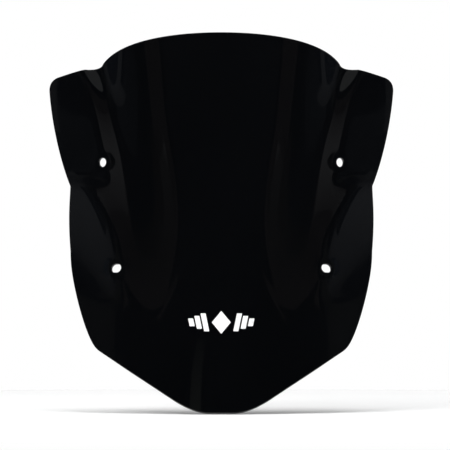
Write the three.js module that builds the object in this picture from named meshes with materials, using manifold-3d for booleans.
// Windshield screen of a sport motorcycle: one thermoformed sheet of smoked acrylic with two round
// holes and two short level slots, and the seven cut-vinyl pieces of the emblem on its lower middle.
//
// Frame, in millimetres: +Z up, +X to the right as seen from ahead of the motorcycle, +Y to the rear.
// The origin is the middle of the four hole centres on the outer face.

import * as THREE from "three";
import { mergeVertices } from "three/addons/utils/BufferGeometryUtils.js";
import Module from "manifold-3d";

const wasm = await Module();
wasm.setup();

// ---------- driving dimensions ----------

const SHEET = 3.0; // thickness of the acrylic
const HALF_WIDTH = 183.5; // widest point of the ears, from the middle plane
const TOP = 192.4; // top edge on the middle plane
const FOOT = -206.2; // bottom edge on the middle plane

const HOLE_RADIUS = 4.75;
const SLOT = 2.2; // how much longer than high the lower holes are
const HOLE_SIDES = 24;
const SEAT_FLAT = 7.5; // radius of the flat seat round each hole
const SEAT_BLEND = 13.5; // radius where the seat has run out into the formed surface

// Right-hand holes, mirrored to the left: centre, and the slopes of the flat seat (rearward travel
// per millimetre outward and per millimetre upward).
const HOLES = [
  { x: 126.0, z: 55.8, out: 0.68, up: 0.08, slot: 0 },
  { x: 110.9, z: -55.8, out: 0.55, up: 0.38, slot: SLOT },
];

const RAKE = 0.19; // rearward lean of the middle line at the height of the origin
const BOW = 0.0012; // how fast that lean dies away upward, per millimetre

const FILM = 0.4; // thickness of an emblem piece
const FILM_GAP = 0.3; // clearance between the sheet and an emblem piece
const EMBLEM_Z = -112.3; // height of the emblem's middle
const EMBLEM_HEIGHT = 24;
const LOZENGE_HALF_WIDTH = 10;
const BAR_COUNT = 3; // slanted bars on each side of the lozenge
const BAR_WIDTH = 5.4;
const BAR_PITCH = 7.6;
const BAR_SLANT = 5; // how far a bar leans outward over the emblem's full height
const BAR_SHRINK = 0.22; // each bar is shorter than the one inside it by this share of the height

const CELL = 12; // size of a facet on the sheet
const FINE_CELL = 5; // size of a facet across the folds and round the holes
const FILM_CELL = 6; // size of a facet on an emblem piece

// ---------- the formed surface ----------

// A ramp that is flat before t = 0 and rises 1:1 after it, rounded over the given width.
const ramp = (t, width) => width * Math.log1p(Math.exp(t / width));

// A step from 0 to 1 at t = 0, spread over the given width.
const step = (t, width) => 0.5 * (1 + Math.tanh(t / (2 * width)));

const mix = (a, b, share) => a + (b - a) * share;

// The bubble: a crown whose sideways slope grows from the middle line and levels off at a limit.
function crown(u, z) {
  const low = mix(1 / 330, 1 / 112, step(z + 106, 24));
  const curvature = low + (1 / 150 - 1 / 112) * step(z - 70, 20);
  const limit = mix(0.3, 0.42, step(z + 50, 20));
  const t = (curvature * u) / limit;
  return ((limit * limit) / curvature) * (t + Math.log1p(Math.exp(-2 * t)) - Math.LN2);
}

// The flank: a steeper band down each side of the bubble, deepest at the top, that ends at the groove.
function flank(u, z) {
  const slope = 0.34 * step(z + 27, 21) + 0.08 + 0.005 * ramp(z - 85, 12);
  const start = 60 + 0.19 * ramp(z, 15);
  const groove = 86 + 0.26 * ramp(z, 15);
  const grooveRadius = mix(2.5, 7, step(40 - z, 18));
  return slope * (ramp(u - start, 8) - ramp(u - groove, grooveRadius));
}

// A low press line that rounds off the flank's lower end, like the bottom of a U.
function swage(u, z) {
  const rise = 0.043;
  const height = z + 103 - rise * (u - 75) ** 2;
  const inside = height / Math.hypot(1, 2 * rise * (u - 75));
  return 0.35 * step(-z - 40, 15) * step(inside, 1.2);
}

// A small facet at the root of the ear, where the sheet steps back from the ledge to the top edge.
function brow(u, z) {
  const beyond = (z - 1.083 * u + 11) / 1.474;
  return 8 * step(beyond - 8, 5) * step(u - 116, 4);
}

// The ear: outboard of the crease the sheet falls away again, and its rim curls further back.
function ear(u, z) {
  const crease = 110 + 0.24 * z;
  const rim = 173 - 0.0028 * (130 - z) ** 2;
  const dent = 0.9 * Math.exp(-((u - 133) ** 2 + (z - 41) ** 2) / 32);
  return 0.38 * ramp(u - crease, 2) + 0.22 * ramp(u - rim, 4) + brow(u, z) + dent;
}

// The side panel: the steep flat below the ear, which dies out towards the bottom corner.
function sidePanel(u, z) {
  const crease = 109 + 0.62 * ramp(z + 24, 14);
  const hem = 0.745 * u - 171;
  const slope = mix(0.42, 0.85, step(z - hem, 7));
  const creaseRadius = mix(2.5, 5, step(-z - 75, 8));
  return slope * ramp(u - crease, creaseRadius);
}

// Rearward distance of the outer face at x, z before the hole seats are pressed flat.
function freeDepth(x, z) {
  const u = Math.abs(x);
  const isEar = step(z - 36, 3);
  const side = mix(sidePanel(u, z), ear(u, z), isEar);
  return RAKE * z - 0.5 * BOW * z * z + crown(u, z) + flank(u, z) + swage(u, z) + side;
}

// The hole centres' mean rearward distance, where the origin lies.
const DATUM = HOLES.reduce((sum, hole) => sum + freeDepth(hole.x, hole.z), 0) / HOLES.length;

// Rearward distance of the outer face at x, z from the origin.
function depth(x, z) {
  let y = freeDepth(x, z);
  for (const hole of HOLES) {
    const out = Math.abs(x) - hole.x;
    const up = z - hole.z;
    const reach = Math.hypot(out, up);
    if (reach >= SEAT_BLEND) continue;
    const seat = freeDepth(hole.x, hole.z) + hole.out * out + hole.up * up;
    y = mix(seat, y, THREE.MathUtils.smoothstep(reach, SEAT_FLAT, SEAT_BLEND));
  }
  return y - DATUM;
}

// Point at a height above the outer face (negative inside the sheet), measured square to the face.
function pointOn(x, z, height) {
  const h = 0.05;
  const slopeX = (depth(x + h, z) - depth(x - h, z)) / (2 * h);
  const slopeZ = (depth(x, z + h) - depth(x, z - h)) / (2 * h);
  const outward = new THREE.Vector3(slopeX, -1, slopeZ).normalize();
  return outward.multiplyScalar(height).add(new THREE.Vector3(x, depth(x, z), z));
}

// ---------- solids ----------

function toSolid(geometry) {
  const bare = geometry.clone();
  bare.deleteAttribute("normal");
  bare.deleteAttribute("uv");
  const merged = mergeVertices(bare, 1e-4);
  return new wasm.Manifold(
    new wasm.Mesh({
      numProp: 3,
      vertProperties: merged.getAttribute("position").array,
      triVerts: new Uint32Array(merged.index.array),
    }),
  );
}

function toGeometry(solid) {
  const mesh = solid.getMesh();
  const positions = new THREE.BufferAttribute(mesh.vertProperties, 3);
  return new THREE.BufferGeometry()
    .setAttribute("position", positions)
    .setIndex(new THREE.BufferAttribute(mesh.triVerts, 1));
}

// A slab that follows the formed surface over a grid of columns and rows, front at the outer face and
// back a given distance behind it.
function slab(columns, rows, back) {
  const positions = [];
  for (const behind of [0, back])
    for (const z of rows) for (const x of columns) positions.push(x, depth(x, z) + behind, z);

  const across = columns.length;
  const layer = across * rows.length;
  const triangles = [];
  const quad = (a, b, c, d) => triangles.push(a, b, c, a, c, d);
  for (let row = 0; row < rows.length - 1; row++)
    for (let column = 0; column < across - 1; column++) {
      const a = row * across + column;
      const right = columns[column] >= 0;
      const corners = [a, a + 1, a + 1 + across, a + across];
      // The diagonal leans the other way on the other side, so both sides are alike.
      const [p, q, r, s] = right ? corners : [corners[1], corners[2], corners[3], corners[0]];
      quad(p, q, r, s);
      quad(p + layer, s + layer, r + layer, q + layer);
    }

  const rim = [];
  for (let column = 0; column < across - 1; column++) rim.push(column);
  for (let row = 0; row < rows.length - 1; row++) rim.push(row * across + across - 1);
  for (let column = across - 1; column > 0; column--) rim.push(layer - across + column);
  for (let row = rows.length - 1; row > 0; row--) rim.push(row * across);
  rim.forEach((a, i) => {
    const b = rim[(i + 1) % rim.length];
    quad(b, a, a + layer, b + layer);
  });

  return new THREE.BufferGeometry()
    .setAttribute("position", new THREE.Float32BufferAttribute(positions, 3))
    .setIndex(triangles);
}

// Evenly spaced values from a to b, both included, no further apart than the step.
function spaced(a, b, largest) {
  const count = Math.ceil((b - a) / largest);
  return Array.from({ length: count + 1 }, (_, i) => mix(a, b, i / count));
}

// A piece of sheet cut to an outline (x to the right, y up), lying between two heights above the outer
// face. Its cut edges are square to the surface.
function formedPiece(outline, columns, rows, outer, inner, curveSegments) {
  const back = 12;
  const near = -200;
  const cutterLength = 600;
  const cutter = new THREE.ExtrudeGeometry(outline, {
    depth: cutterLength,
    bevelEnabled: false,
    curveSegments,
  });
  cutter.rotateX(Math.PI / 2);
  cutter.translate(0, near + cutterLength, 0);
  const geometry = toGeometry(toSolid(slab(columns, rows, back)).intersect(toSolid(cutter)));

  const positions = geometry.getAttribute("position");
  for (let i = 0; i < positions.count; i++) {
    const x = positions.getX(i);
    const z = positions.getZ(i);
    const isFront = positions.getY(i) - depth(x, z) < back / 2;
    const point = pointOn(x, z, isFront ? outer : inner);
    positions.setXYZ(i, point.x, point.y, point.z);
  }
  return geometry;
}

// ---------- outlines ----------

// Outline of the sheet seen from ahead, with the right half drawn from the foot up.
function sheetOutline() {
  const rightHalf = new THREE.CurvePath();
  const line = (x0, z0, x1, z1) =>
    rightHalf.add(new THREE.LineCurve(new THREE.Vector2(x0, z0), new THREE.Vector2(x1, z1)));
  const bend = (...xz) => {
    const points = [];
    for (let i = 0; i < xz.length; i += 2) points.push(new THREE.Vector2(xz[i], xz[i + 1]));
    const Curve = points.length === 3 ? THREE.QuadraticBezierCurve : THREE.CubicBezierCurve;
    rightHalf.add(new Curve(...points));
  };

  line(0, FOOT, 13, FOOT);
  bend(13, FOOT, 28.2, FOOT, 49.2, -193.5);
  line(49.2, -193.5, 127.5, -143.3);
  bend(127.5, -143.3, 132, -140.4, 135, -135.6);
  bend(135, -135.6, 146, -118, 160, -66, 160.4, -38.3);
  bend(160.4, -38.3, 164, -0.8, 160.7, 19.3, 160.6, 30.9);
  bend(160.6, 30.9, 168.7, 49.2, 179.8, 89.1, HALF_WIDTH - 0.2, 129.6);
  bend(HALF_WIDTH - 0.2, 129.6, HALF_WIDTH + 1.3, 142.8, 174.2, 146.6);
  bend(174.2, 146.6, 147.9, 155.1, 144.5, 154.8);
  bend(144.5, 154.8, 127.9, 153.6, 125.8, 160.4);
  bend(125.8, 160.4, 113.7, 178.4, 70.7, TOP, 0, TOP);

  const half = [];
  for (const curve of rightHalf.curves) {
    const count = curve.isLineCurve ? 1 : Math.max(3, Math.ceil(curve.getLength() / CELL));
    half.push(...curve.getPoints(count).slice(0, -1));
  }
  const mirrored = half.slice(1).reverse().map((p) => new THREE.Vector2(-p.x, p.y));
  const outline = new THREE.Shape([...half, new THREE.Vector2(0, TOP), ...mirrored]);

  for (const hole of HOLES)
    for (const side of [1, -1]) outline.holes.push(new THREE.Path(holeRim(hole, side)));
  return outline;
}

// Rim of a hole seen from ahead: a circle, or a level slot, in the plane of its tilted seat.
function holeRim(hole, side) {
  const outward = new THREE.Vector3(hole.out, -1, hole.up).normalize();
  const level = new THREE.Vector3(1, hole.out, 0).normalize();
  const upward = new THREE.Vector3().crossVectors(level, outward);
  return Array.from({ length: HOLE_SIDES }, (_, i) => {
    const angle = (2 * Math.PI * i) / HOLE_SIDES;
    const across = HOLE_RADIUS * Math.cos(angle) + 0.5 * hole.slot * Math.sign(Math.cos(angle));
    const rim = level.clone().multiplyScalar(across);
    rim.addScaledVector(upward, HOLE_RADIUS * Math.sin(angle));
    return new THREE.Vector2(side * (hole.x + rim.x), hole.z + rim.z);
  });
}

function lozengeOutline() {
  const half = EMBLEM_HEIGHT / 2;
  return new THREE.Shape([
    new THREE.Vector2(0, EMBLEM_Z - half),
    new THREE.Vector2(LOZENGE_HALF_WIDTH, EMBLEM_Z),
    new THREE.Vector2(0, EMBLEM_Z + half),
    new THREE.Vector2(-LOZENGE_HALF_WIDTH, EMBLEM_Z),
  ]);
}

// Slanted bar of the emblem, counted outward from the lozenge.
function barOutline(index, side) {
  const height = EMBLEM_HEIGHT * (1 - BAR_SHRINK * (index + 1));
  const inner = LOZENGE_HALF_WIDTH + 0.5 * BAR_SLANT + index * BAR_PITCH;
  const lean = (BAR_SLANT * height) / EMBLEM_HEIGHT;
  const corners = [
    [inner, -height / 2],
    [inner + BAR_WIDTH, -height / 2],
    [inner + BAR_WIDTH + lean, height / 2],
    [inner + lean, height / 2],
  ];
  return new THREE.Shape(corners.map(([x, z]) => new THREE.Vector2(side * x, EMBLEM_Z + z)));
}

// ---------- pieces ----------

const acrylic = new THREE.MeshStandardMaterial({ color: 0x08090b, roughness: 0.06, metalness: 0 });
const vinyl = new THREE.MeshStandardMaterial({ color: 0xf2f2f0, roughness: 0.4, metalness: 0 });

function sheetPanel() {
  const margin = 6;
  const side = [
    ...spaced(0, 98, CELL),
    ...spaced(98, 142, FINE_CELL).slice(1),
    ...spaced(142, HALF_WIDTH + margin, CELL).slice(1),
  ];
  const columns = [...side.slice(1).reverse().map((x) => -x), ...side];
  const rows = [
    ...spaced(FOOT - margin, -69, CELL),
    ...spaced(-69, -42, FINE_CELL).slice(1),
    ...spaced(-42, 20, CELL).slice(1),
    ...spaced(20, 69, FINE_CELL).slice(1),
    ...spaced(69, TOP + margin, CELL).slice(1),
  ];
  return formedPiece(sheetOutline(), columns, rows, 0, -SHEET, 1);
}

function filmPiece(outline) {
  const margin = 1.7;
  const box = new THREE.Box2().setFromPoints(outline.getPoints());
  const columns = spaced(box.min.x - margin, box.max.x + margin, FILM_CELL);
  const rows = spaced(box.min.y - margin, box.max.y + margin, FILM_CELL);
  return formedPiece(outline, columns, rows, FILM_GAP + FILM, FILM_GAP, 1);
}

function piece(name, geometry, material) {
  geometry.computeVertexNormals();
  const mesh = new THREE.Mesh(geometry, material.clone());
  mesh.name = name;
  return mesh;
}

const windshield = new THREE.Group();
windshield.add(piece("screen_panel", sheetPanel(), acrylic));

const emblem = new THREE.Group();
emblem.add(piece("emblem_lozenge", filmPiece(lozengeOutline()), vinyl));
for (const [sideName, side] of [["left", -1], ["right", 1]])
  for (let index = 0; index < BAR_COUNT; index++)
    emblem.add(piece(`emblem_bar_${sideName}_${index + 1}`, filmPiece(barOutline(index, side)), vinyl));
windshield.add(emblem);

export default windshield;
